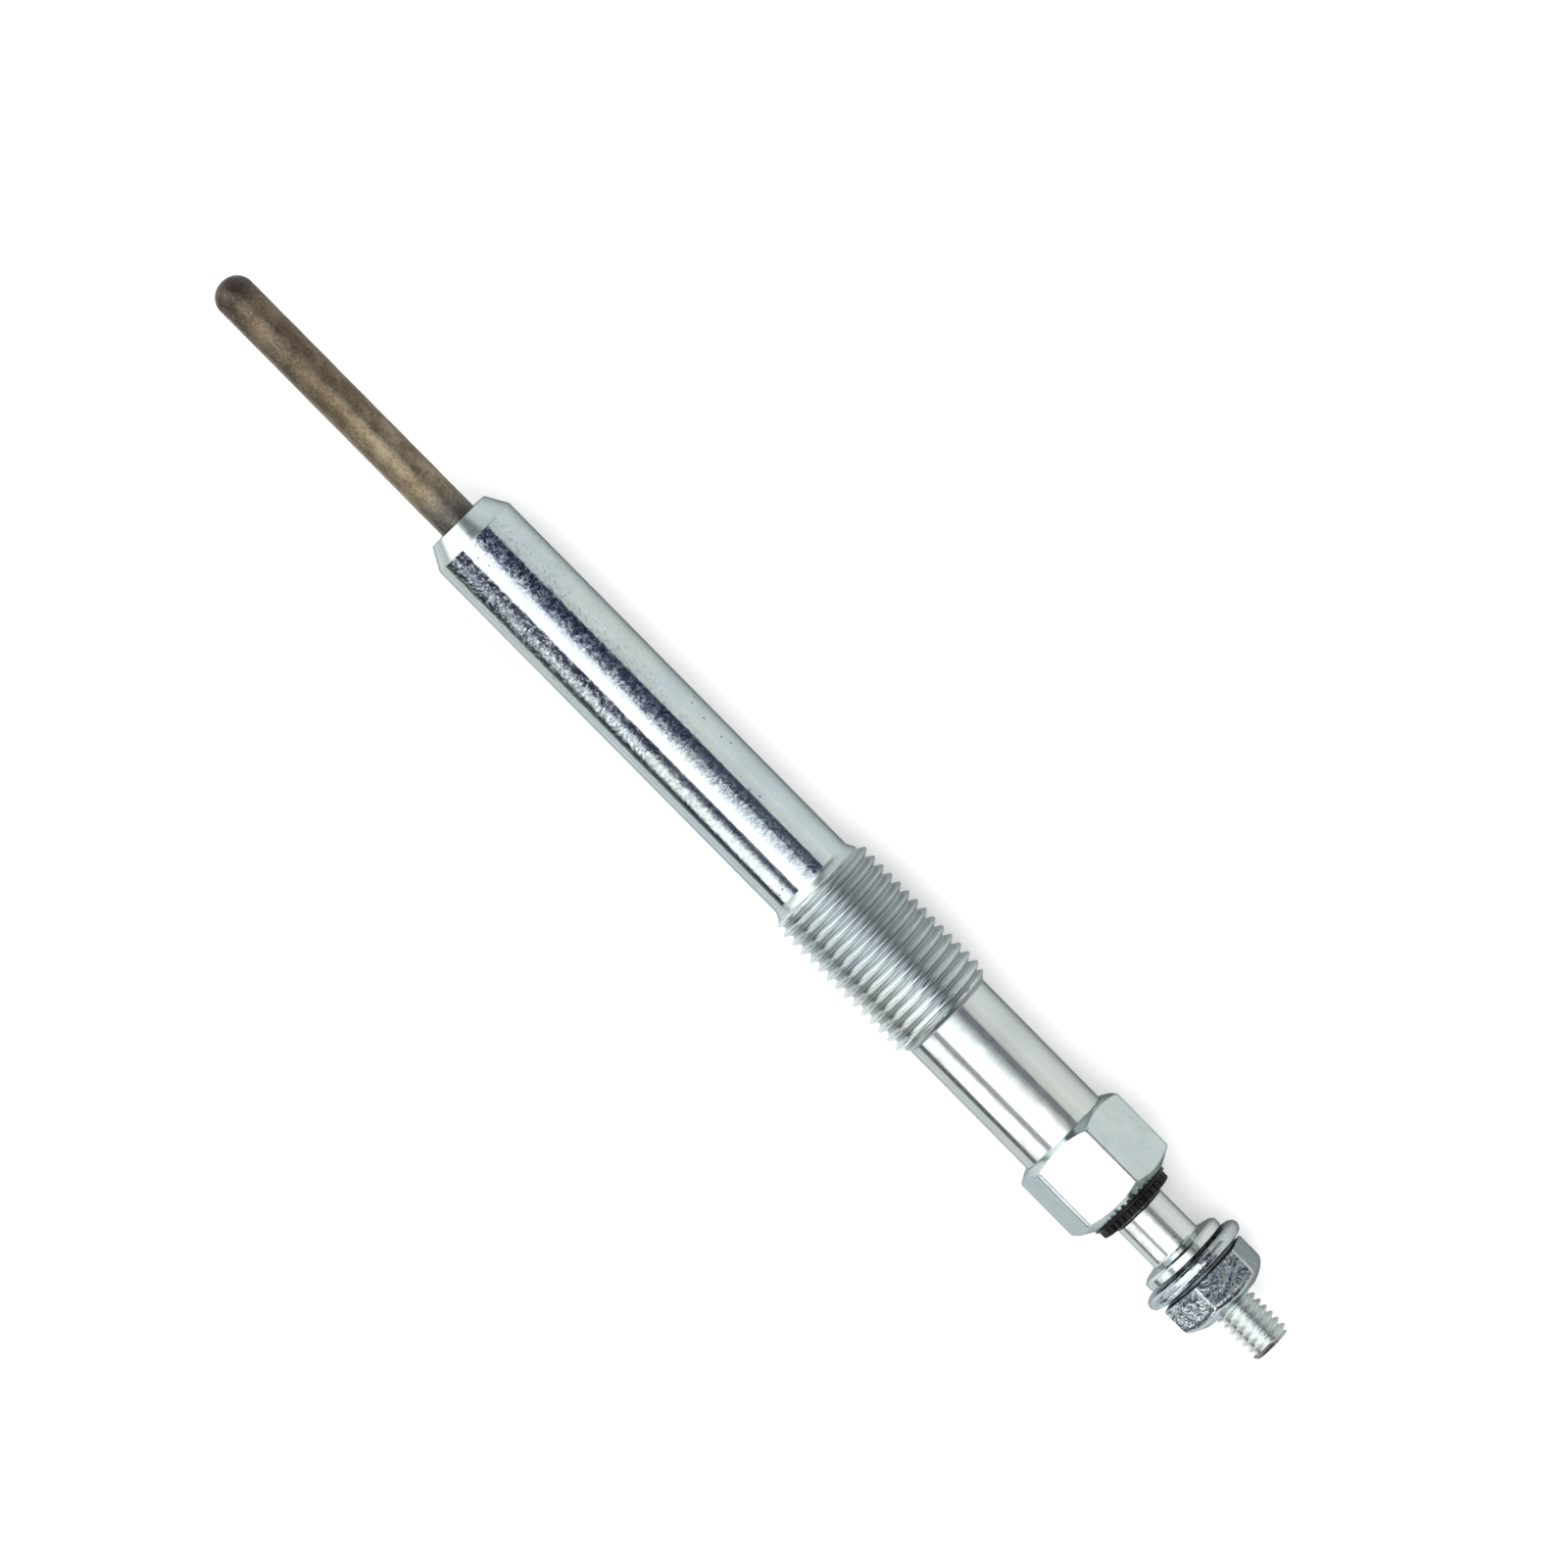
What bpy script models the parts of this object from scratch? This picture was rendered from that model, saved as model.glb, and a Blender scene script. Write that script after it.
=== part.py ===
"""Diesel glow plug, sheathed type, lying on its side.

Every piece is drawn about the plug's own axis, with Z running from the glow tip (Z = 0) to the terminal stud, and hangs
on one empty that lays that axis along world +X. The bottom of the nut's flange is at world Z = 0, and one flat of the
spanner hexagon faces straight up. Metres.
"""

import math

import bmesh
import bpy
import numpy as np

MM = 0.001

# ---------------------------------------------------------------- driving dimensions (mm, measured from the glow tip)
OVERALL_LENGTH = 122.0

# sheath tube
SHEATH_D = 3.6
SHEATH_WALL = 0.42
SHEATH_END = 47.0
SHEATH_DOME = 1.55

# housing, outside
SEAT_FACE_X = 27.35
SEAT_FACE_D = 5.9
SEAT_END_X = 29.2
BARREL_D = 8.0
BARREL_END_X = 68.05
THREAD_START_X = 69.15
THREAD_END_X = 84.1
THREAD_MAJOR_D = 9.9
SHANK_D = 8.3
HEX_START_X = 97.6
HEX_END_X = 105.08
HEX_FLATS = 9.8
HEX_FRONT_CHAMFER_D = 8.9
HEX_REAR_CHAMFER_D = 7.9
CHAMFER_ANGLE = math.radians(30.0)

# housing, bore
BORE_FRONT_D = 3.7
BORE_STEP_X = 47.6
BORE_D = 5.2
COUNTERBORE_X = 100.0
COUNTERBORE_D = 5.8

# insulating bush
BUSH_SPIGOT_D = 5.7
BUSH_SPIGOT_X = 101.4
BUSH_BORE_D = 4.04
BUSH_RING_D = 7.7
BUSH_RING_X = (105.12, 105.42)
BUSH_RIBS = 30
BUSH_RIB_D = 7.2
BUSH_RIB_DEPTH = 0.24
BUSH_RIB_END_X = 106.15
BUSH_BOSS_D = 5.0
BUSH_END_X = 106.55

# terminal sleeve
SLEEVE_D = 4.85
SLEEVE_BORE_D = 4.04
SLEEVE_X = (106.6, 111.88)
COLLAR_X = 110.85
COLLAR_D = 7.95
COLLAR_EDGE = 0.22

# centre rod and stud
ROD_PIN_D = 1.2
ROD_PIN_X = 29.6
ROD_FRONT_D = 2.0
ROD_FRONT_X = 32.0
ROD_D = 3.4
ROD_X = 48.4
STUD_D = 3.92
STUD_X = 99.0
STUD_CHAMFER = (0.45, 0.30)

# flange nut
NUT_X = 112.1
NUT_FLANGE_D = 10.1
NUT_FLANGE_RIM = 1.05
NUT_HEX_X = 113.6
NUT_END_X = 117.15
NUT_FLATS = 7.9
NUT_CHAMFER_D = 6.0
NUT_BORE_D = 4.04
NUT_TURN = math.radians(27.5)

# coils, powder and seals
WIRE_D = 0.26
COIL_D = 1.8
HEATER_X = (1.75, 11.0)
HEATER_TURNS = 9
CONTROL_X = (11.7, 31.2)
CONTROL_TURNS = 10
COIL_POINTS = 12
FILL_D = 2.66
FILL_SLOT_D = (1.40, 2.20)
FILL_X = (0.85, 44.6)
FILL_CORE_END = 29.2
FILL_ROD_HOLE_D = 2.1
SEAL_X = (44.9, 46.9)
O_RING_SECTION = 0.8
O_RING_X = 100.9

# round work
FINE = 48
MEDIUM = 32
COARSE = 24

AXIS_HEIGHT = NUT_FLANGE_D / 2 * math.cos(math.pi / FINE)


# ---------------------------------------------------------------- start clean
for old in list(bpy.data.objects):
    bpy.data.objects.remove(old, do_unlink=True)

parts = bpy.data.collections.new("diesel_glow_plug")
tools = bpy.data.collections.new("cutters")
bpy.context.scene.collection.children.link(parts)
bpy.context.scene.collection.children.link(tools)

axis = bpy.data.objects.new("plug_axis", None)
parts.objects.link(axis)
axis.rotation_euler = (0.0, math.radians(90.0), 0.0)
axis.location = (-OVERALL_LENGTH / 2 * MM, 0.0, AXIS_HEIGHT * MM)


# ---------------------------------------------------------------- materials
def material(name, colour, roughness, metallic):
    m = bpy.data.materials.new(name)
    m.use_nodes = True
    b = m.node_tree.nodes["Principled BSDF"]
    b.inputs["Base Color"].default_value = (*colour, 1.0)
    b.inputs["Roughness"].default_value = roughness
    b.inputs["Metallic"].default_value = metallic
    return m


ZINC = material("zinc_plate", (0.62, 0.66, 0.68), 0.22, 1.0)
ZINC_NUT = material("zinc_plate_nut", (0.50, 0.55, 0.60), 0.32, 1.0)
ZINC_BRIGHT = material("zinc_plate_bright", (0.78, 0.78, 0.74), 0.15, 1.0)
ROD_STEEL = material("rod_steel", (0.55, 0.57, 0.56), 0.35, 1.0)
SHEATH = material("oxidised_alloy", (0.16, 0.12, 0.09), 0.45, 0.7)
HEATER = material("heater_wire", (0.45, 0.42, 0.38), 0.40, 1.0)
CONTROL = material("control_wire", (0.62, 0.58, 0.50), 0.35, 1.0)
MAGNESIA = material("magnesia_powder", (0.86, 0.85, 0.82), 0.90, 0.0)
BLACK_PLASTIC = material("black_moulding", (0.015, 0.015, 0.016), 0.45, 0.0)
RUBBER_GREY = material("seal_rubber", (0.22, 0.20, 0.19), 0.75, 0.0)
RUBBER_BLACK = material("o_ring_rubber", (0.02, 0.02, 0.02), 0.70, 0.0)


# ---------------------------------------------------------------- helpers
def add(name, mesh, mat, group, parent=axis, turn=0.0):
    ob = bpy.data.objects.new(name, mesh)
    group.objects.link(ob)
    ob.parent = parent
    ob.rotation_euler = (0.0, 0.0, turn)
    if mat is not None and mesh.materials.find(mat.name) < 0:
        mesh.materials.append(mat)
    if group is tools:
        ob.hide_render = True
        ob.display_type = "WIRE"
    return ob


def turned(name, outer, steps, mat, group=parts, inner=None):
    """A turned shape. outer is (x, radius) from the glow end to the terminal end. With no inner it closes on the axis,
    and with inner, also (x, radius) from the glow end, it is a ring."""
    loop = [(r * MM, 0.0, x * MM) for x, r in reversed(outer)]
    if inner:
        loop += [(r * MM, 0.0, x * MM) for x, r in inner]
    mesh = bpy.data.meshes.new(name)
    bm = bmesh.new()
    verts = [bm.verts.new(p) for p in loop]
    for a, b in zip(verts, verts[1:]):
        bm.edges.new((a, b))
    if inner:
        bm.edges.new((verts[-1], verts[0]))
    bm.to_mesh(mesh)
    bm.free()
    ob = add(name, mesh, mat, group, turn=math.pi / steps)
    s = ob.modifiers.new("Screw", "SCREW")
    s.axis = "Z"
    s.angle = 2 * math.pi
    s.screw_offset = 0.0
    s.iterations = 1
    s.steps = steps
    s.render_steps = steps
    s.use_merge_vertices = True
    s.merge_threshold = 1e-7
    s.use_smooth_shade = True
    return ob


def hexagon(name, flats, x0, x1, group=tools, turn=0.0):
    """A six-sided bar. Its first flat looks along the local -X axis, which the empty turns to world +Z."""
    bm = bmesh.new()
    bmesh.ops.create_cone(
        bm, cap_ends=True, cap_tris=False, segments=6, radius1=flats / math.sqrt(3) * MM,
        radius2=flats / math.sqrt(3) * MM, depth=(x1 - x0) * MM,
    )
    bmesh.ops.translate(bm, verts=bm.verts, vec=(0.0, 0.0, (x0 + x1) / 2 * MM))
    # corners to 30, 90, 150 degrees and so on, so that the flats face 0, 60, 120 degrees
    bm.verts.ensure_lookup_table()
    first = math.atan2(bm.verts[0].co.y, bm.verts[0].co.x)
    shift = math.radians(30.0) - first
    c, s = math.cos(shift), math.sin(shift)
    for v in bm.verts:
        v.co.x, v.co.y = c * v.co.x - s * v.co.y, s * v.co.x + c * v.co.y
    mesh = bpy.data.meshes.new(name)
    bm.to_mesh(mesh)
    bm.free()
    return add(name, mesh, None, group, turn=turn)


def boolean(ob, other, operation):
    m = ob.modifiers.new(operation.title(), "BOOLEAN")
    m.operation = operation
    m.solver = "EXACT"
    m.object = other
    return m


# ---------------------------------------------------------------- sheath tube
def sheath_dome(radius, length, x0, count):
    """A blunt swaged end: flatter than a ball at the very tip."""
    points = []
    for i in range(count):
        t = i / (count - 1) * math.pi / 2
        points.append((x0 + length * (1.0 - math.cos(t) ** 1.15), radius * math.sin(t) ** 0.92 if i else 0.0))
    return points


R_SHEATH = SHEATH_D / 2
R_SHEATH_IN = R_SHEATH - SHEATH_WALL
sheath_outer = sheath_dome(R_SHEATH, SHEATH_DOME, 0.0, 7) + [(SHEATH_END - 0.25, R_SHEATH), (SHEATH_END, R_SHEATH - 0.12)]
sheath_inner = sheath_dome(R_SHEATH_IN, SHEATH_DOME * 0.8, 0.62, 5) + [(SHEATH_END, R_SHEATH_IN)]
# one open line, from the axis inside the tip along to the mouth, then back along the outside to the tip
mesh = bpy.data.meshes.new("sheath_tube")
bm = bmesh.new()
line = [(r * MM, 0.0, x * MM) for x, r in sheath_inner + sheath_outer[::-1]]
verts = [bm.verts.new(p) for p in line]
for a, b in zip(verts, verts[1:]):
    bm.edges.new((a, b))
bm.to_mesh(mesh)
bm.free()
sheath = add("sheath_tube", mesh, SHEATH, parts, turn=math.pi / MEDIUM)
screw = sheath.modifiers.new("Screw", "SCREW")
screw.axis = "Z"
screw.angle = 2 * math.pi
screw.steps = MEDIUM
screw.render_steps = MEDIUM
screw.use_merge_vertices = True
screw.merge_threshold = 1e-7
screw.use_smooth_shade = True


# ---------------------------------------------------------------- housing
barrel_r = BARREL_D / 2
thread_r = THREAD_MAJOR_D / 2
shank_r = SHANK_D / 2
housing = turned(
    "housing",
    [
        (SEAT_FACE_X, 0.0),
        (SEAT_FACE_X, SEAT_FACE_D / 2),
        (SEAT_END_X, barrel_r),
        (BARREL_END_X, barrel_r),
        (BARREL_END_X + 0.6, barrel_r + 0.16),
        (THREAD_START_X, barrel_r + 0.45),
        (THREAD_START_X + 0.45, thread_r),
        (THREAD_END_X - 0.5, thread_r),
        (THREAD_END_X, shank_r),
        (HEX_START_X + 2.0, shank_r),
        (HEX_START_X + 2.0, 0.0),
    ],
    FINE,
    ZINC,
)

head = hexagon("hex_head", HEX_FLATS, HEX_START_X, HEX_END_X)
corner_r = HEX_FLATS / math.sqrt(3) + 0.1
run_front = (corner_r - HEX_FRONT_CHAMFER_D / 2) * math.tan(CHAMFER_ANGLE)
run_rear = (corner_r - HEX_REAR_CHAMFER_D / 2) * math.tan(CHAMFER_ANGLE)
head_form = turned(
    "hex_head_form",
    [
        (HEX_START_X - 0.0, 0.0),
        (HEX_START_X - 0.0, HEX_FRONT_CHAMFER_D / 2),
        (HEX_START_X + run_front, corner_r),
        (HEX_END_X - run_rear, corner_r),
        (HEX_END_X, HEX_REAR_CHAMFER_D / 2),
        (HEX_END_X, 0.0),
    ],
    FINE,
    None,
    tools,
)
# the bar is a little longer than the form, so that the form alone sets both ends
for v in head.data.vertices:
    v.co.z += 0.4 * MM if v.co.z > (HEX_START_X + HEX_END_X) / 2 * MM else -0.4 * MM
boolean(head, head_form, "INTERSECT")
boolean(housing, head, "UNION")

bore = turned(
    "housing_bore",
    [
        (SEAT_FACE_X - 1.0, 0.0),
        (SEAT_FACE_X - 1.0, BORE_FRONT_D / 2),
        (BORE_STEP_X, BORE_FRONT_D / 2),
        (BORE_STEP_X + 0.5, BORE_D / 2),
        (COUNTERBORE_X, BORE_D / 2),
        (COUNTERBORE_X, COUNTERBORE_D / 2),
        (HEX_END_X + 1.0, COUNTERBORE_D / 2),
        (HEX_END_X + 1.0, 0.0),
    ],
    FINE,
    None,
    tools,
)
boolean(housing, bore, "DIFFERENCE")


# ---------------------------------------------------------------- insulating bush
bush = turned(
    "insulating_bush",
    [
        (BUSH_SPIGOT_X, 0.0),
        (BUSH_SPIGOT_X, BUSH_SPIGOT_D / 2 - 0.2),
        (BUSH_SPIGOT_X + 0.25, BUSH_SPIGOT_D / 2),
        (BUSH_RING_X[0], BUSH_SPIGOT_D / 2),
        (BUSH_RING_X[0], BUSH_RING_D / 2),
        (BUSH_RING_X[1], BUSH_RING_D / 2),
        (BUSH_RING_X[1] + 0.06, BUSH_BOSS_D / 2 + 0.6),
        (BUSH_RIB_END_X - 0.1, BUSH_BOSS_D / 2 + 0.6),
        (BUSH_RIB_END_X + 0.1, BUSH_BOSS_D / 2),
        (BUSH_END_X, BUSH_BOSS_D / 2),
        (BUSH_END_X, 0.0),
    ],
    FINE,
    BLACK_PLASTIC,
)
ribs_mesh = bpy.data.meshes.new("bush_ribs")
bm = bmesh.new()
per_rib = 4
bmesh.ops.create_cone(
    bm, cap_ends=True, cap_tris=False, segments=BUSH_RIBS * per_rib, radius1=BUSH_RIB_D / 2 * MM,
    radius2=BUSH_RIB_D / 2 * MM, depth=(BUSH_RIB_END_X - BUSH_RING_X[0] - 0.12) * MM,
)
bmesh.ops.translate(bm, verts=bm.verts, vec=(0.0, 0.0, (BUSH_RING_X[0] + 0.12 + BUSH_RIB_END_X) / 2 * MM))
for v in bm.verts:
    step = round(math.atan2(v.co.y, v.co.x) / (2 * math.pi) * BUSH_RIBS * per_rib) % per_rib
    if step >= 2:
        keep = 1.0 - BUSH_RIB_DEPTH / (BUSH_RIB_D / 2)
        v.co.x *= keep
        v.co.y *= keep
bm.to_mesh(ribs_mesh)
bm.free()
ribs = add("bush_ribs", ribs_mesh, None, tools)
boolean(bush, ribs, "UNION")
bush_bore = turned(
    "bush_bore",
    [
        (BUSH_SPIGOT_X - 1.0, 0.0),
        (BUSH_SPIGOT_X - 1.0, BUSH_BORE_D / 2),
        (BUSH_END_X + 1.0, BUSH_BORE_D / 2),
        (BUSH_END_X + 1.0, 0.0),
    ],
    MEDIUM,
    None,
    tools,
)
boolean(bush, bush_bore, "DIFFERENCE")


# ---------------------------------------------------------------- terminal sleeve, one turned piece with its collar
turned(
    "terminal_sleeve",
    [
        (SLEEVE_X[0], SLEEVE_D / 2 - 0.12),
        (SLEEVE_X[0] + 0.12, SLEEVE_D / 2),
        (COLLAR_X - 0.35, SLEEVE_D / 2),
        (COLLAR_X - 0.1, SLEEVE_D / 2 + 0.1),
        (COLLAR_X, SLEEVE_D / 2 + 0.35),
        (COLLAR_X, COLLAR_D / 2 - COLLAR_EDGE),
        (COLLAR_X + 0.07, COLLAR_D / 2 - 0.07),
        (COLLAR_X + COLLAR_EDGE, COLLAR_D / 2),
        (SLEEVE_X[1] - 0.08, COLLAR_D / 2),
        (SLEEVE_X[1], COLLAR_D / 2 - 0.08),
    ],
    FINE,
    ZINC_BRIGHT,
    inner=[(SLEEVE_X[0], SLEEVE_BORE_D / 2), (SLEEVE_X[1], SLEEVE_BORE_D / 2)],
)


# ---------------------------------------------------------------- centre rod with the terminal stud
turned(
    "centre_rod",
    [
        (ROD_PIN_X, 0.0),
        (ROD_PIN_X, ROD_PIN_D / 2),
        (ROD_FRONT_X - 0.2, ROD_PIN_D / 2),
        (ROD_FRONT_X, ROD_FRONT_D / 2),
        (ROD_X - 0.5, ROD_FRONT_D / 2),
        (ROD_X, ROD_D / 2),
        (STUD_X - 0.2, ROD_D / 2),
        (STUD_X, STUD_D / 2),
        (OVERALL_LENGTH - STUD_CHAMFER[0], STUD_D / 2),
        (OVERALL_LENGTH, STUD_D / 2 - STUD_CHAMFER[1]),
        (OVERALL_LENGTH, 0.0),
    ],
    MEDIUM,
    ROD_STEEL,
)


# ---------------------------------------------------------------- flange nut
rim = NUT_FLANGE_RIM / 2
nut = turned(
    "flange_nut",
    [
        (NUT_X, 0.0),
        (NUT_X, NUT_FLANGE_D / 2 - 0.62),
        (NUT_X + 0.2, NUT_FLANGE_D / 2 - 0.14),
        (NUT_X + 0.5, NUT_FLANGE_D / 2),
        (NUT_X + NUT_FLANGE_RIM - 0.15, NUT_FLANGE_D / 2),
        (NUT_X + NUT_FLANGE_RIM + 0.13, NUT_FLANGE_D / 2 - 0.2),
        (NUT_HEX_X - 0.2, NUT_FLATS / 2 + 0.5),
        (NUT_HEX_X, NUT_FLATS / 2 - 0.15),
        (NUT_HEX_X + 0.4, NUT_FLATS / 2 - 0.3),
        (NUT_HEX_X + 0.4, 0.0),
    ],
    FINE,
    ZINC_NUT,
)
# the empty's local -X is world +Z, so a turn from up toward +Y is a negative one
nut_hex = hexagon("nut_hex", NUT_FLATS, NUT_X + 0.7, NUT_END_X + 0.4, turn=-NUT_TURN)
nut_corner = NUT_FLATS / math.sqrt(3) + 0.1
nut_form = turned(
    "nut_form",
    [
        (NUT_X + 0.3, 0.0),
        (NUT_X + 0.3, nut_corner),
        (NUT_END_X - (nut_corner - NUT_CHAMFER_D / 2) * math.tan(CHAMFER_ANGLE), nut_corner),
        (NUT_END_X, NUT_CHAMFER_D / 2),
        (NUT_END_X, 0.0),
    ],
    FINE,
    None,
    tools,
)
boolean(nut_hex, nut_form, "INTERSECT")
boolean(nut, nut_hex, "UNION")
nut_bore = turned(
    "nut_bore",
    [
        (NUT_X - 1.0, 0.0),
        (NUT_X - 1.0, NUT_BORE_D / 2),
        (NUT_END_X + 1.0, NUT_BORE_D / 2),
        (NUT_END_X + 1.0, 0.0),
    ],
    MEDIUM,
    None,
    tools,
)
boolean(nut, nut_bore, "DIFFERENCE")


# ---------------------------------------------------------------- coils
def coil(name, x0, x1, turns, phase, mat):
    """A helix of round wire, with a close last turn at each end where it is welded on."""
    count = turns * COIL_POINTS + 1
    curve = bpy.data.curves.new(name, "CURVE")
    curve.dimensions = "3D"
    curve.bevel_depth = WIRE_D / 2 * MM
    curve.bevel_resolution = 2
    curve.resolution_u = 1
    curve.render_resolution_u = 0
    curve.use_fill_caps = True
    spline = curve.splines.new("POLY")
    spline.points.add(count - 1)
    r = (COIL_D / 2) * MM
    for i in range(count):
        t = i / (count - 1)
        a = phase + 2 * math.pi * turns * t
        spline.points[i].co = (r * math.cos(a), r * math.sin(a), (x0 + (x1 - x0) * t) * MM, 1.0)
    curve.materials.append(mat)
    ob = bpy.data.objects.new(name, curve)
    parts.objects.link(ob)
    ob.parent = axis
    return ob


coil("heating_coil", HEATER_X[0], HEATER_X[1], HEATER_TURNS, 0.0, HEATER)
coil("control_coil", CONTROL_X[0], CONTROL_X[1], CONTROL_TURNS, math.radians(40.0), CONTROL)


# ---------------------------------------------------------------- magnesia powder, packed round and inside the coils
fill_r = FILL_D / 2
turned(
    "magnesia_fill",
    [
        (FILL_X[0], 0.0),
        (FILL_X[0], 0.55),
        (FILL_X[0] + 0.35, 1.0),
        (FILL_X[0] + 1.0, fill_r),
        (FILL_X[1], fill_r),
        (FILL_X[1], FILL_ROD_HOLE_D / 2),
        (FILL_CORE_END + 2.6, FILL_ROD_HOLE_D / 2),
        (FILL_CORE_END + 2.5, FILL_SLOT_D[1] / 2),
        (HEATER_X[0] - 0.3, FILL_SLOT_D[1] / 2),
        (HEATER_X[0] - 0.3, FILL_SLOT_D[0] / 2),
        (FILL_CORE_END, FILL_SLOT_D[0] / 2),
        (FILL_CORE_END, 0.0),
    ],
    COARSE,
    MAGNESIA,
)


# ---------------------------------------------------------------- seals
turned(
    "sheath_seal",
    [(SEAL_X[0], FILL_D / 2), (SEAL_X[1], FILL_D / 2)],
    COARSE,
    RUBBER_GREY,
    inner=[(SEAL_X[0], FILL_ROD_HOLE_D / 2), (SEAL_X[1], FILL_ROD_HOLE_D / 2)],
)

ring = bpy.data.meshes.new("o_ring")
o_ring_r = (COUNTERBORE_D / 2 + STUD_D / 2) / 2
bm = bmesh.new()
circle = bmesh.ops.create_circle(bm, segments=10, radius=O_RING_SECTION / 2 * MM, cap_ends=False)["verts"]
for v in circle:
    v.co = (o_ring_r * MM + v.co.x, 0.0, O_RING_X * MM + v.co.y)
bm.to_mesh(ring)
bm.free()
o_ring = add("o_ring", ring, RUBBER_BLACK, parts, turn=math.pi / MEDIUM)
screw = o_ring.modifiers.new("Screw", "SCREW")
screw.axis = "Z"
screw.angle = 2 * math.pi
screw.steps = MEDIUM
screw.render_steps = MEDIUM
screw.use_merge_vertices = True
screw.merge_threshold = 1e-7
screw.use_smooth_shade = True

for ob in parts.objects:
    if ob.type == "MESH":
        ob.data.shade_smooth()
        ob.data.set_sharp_from_angle(angle=math.radians(30.0))
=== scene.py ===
"""Looks for the diesel glow plug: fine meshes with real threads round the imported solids, zinc plate, oxide and moulding
materials, a pale floor and soft studio light. Metres, +X from the glow tip to the terminal stud, +Z up."""

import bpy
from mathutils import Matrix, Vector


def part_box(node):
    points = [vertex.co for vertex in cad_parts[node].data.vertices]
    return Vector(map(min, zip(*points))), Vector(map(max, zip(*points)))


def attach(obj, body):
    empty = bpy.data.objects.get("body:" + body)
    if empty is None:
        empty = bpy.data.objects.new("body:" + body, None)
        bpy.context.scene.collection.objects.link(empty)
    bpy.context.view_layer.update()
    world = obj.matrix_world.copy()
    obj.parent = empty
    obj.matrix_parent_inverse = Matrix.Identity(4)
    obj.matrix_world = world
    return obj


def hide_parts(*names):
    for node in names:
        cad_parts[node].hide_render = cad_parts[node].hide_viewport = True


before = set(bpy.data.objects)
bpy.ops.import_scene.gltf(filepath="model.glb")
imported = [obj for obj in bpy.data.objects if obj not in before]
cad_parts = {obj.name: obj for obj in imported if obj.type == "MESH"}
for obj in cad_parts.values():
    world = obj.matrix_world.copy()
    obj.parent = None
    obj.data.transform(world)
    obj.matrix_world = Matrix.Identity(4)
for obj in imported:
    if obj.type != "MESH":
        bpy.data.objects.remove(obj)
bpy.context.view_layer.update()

import math

import bmesh
import bpy
import numpy as np
from mathutils import Matrix, Vector

MM = 0.001
HALF = 61.0  # the tip is this far from the frame's origin, mm
low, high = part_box("sheath_tube")
AXIS_Z = (low.z + high.z) / 2
DEG = math.pi / 180.0


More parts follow.
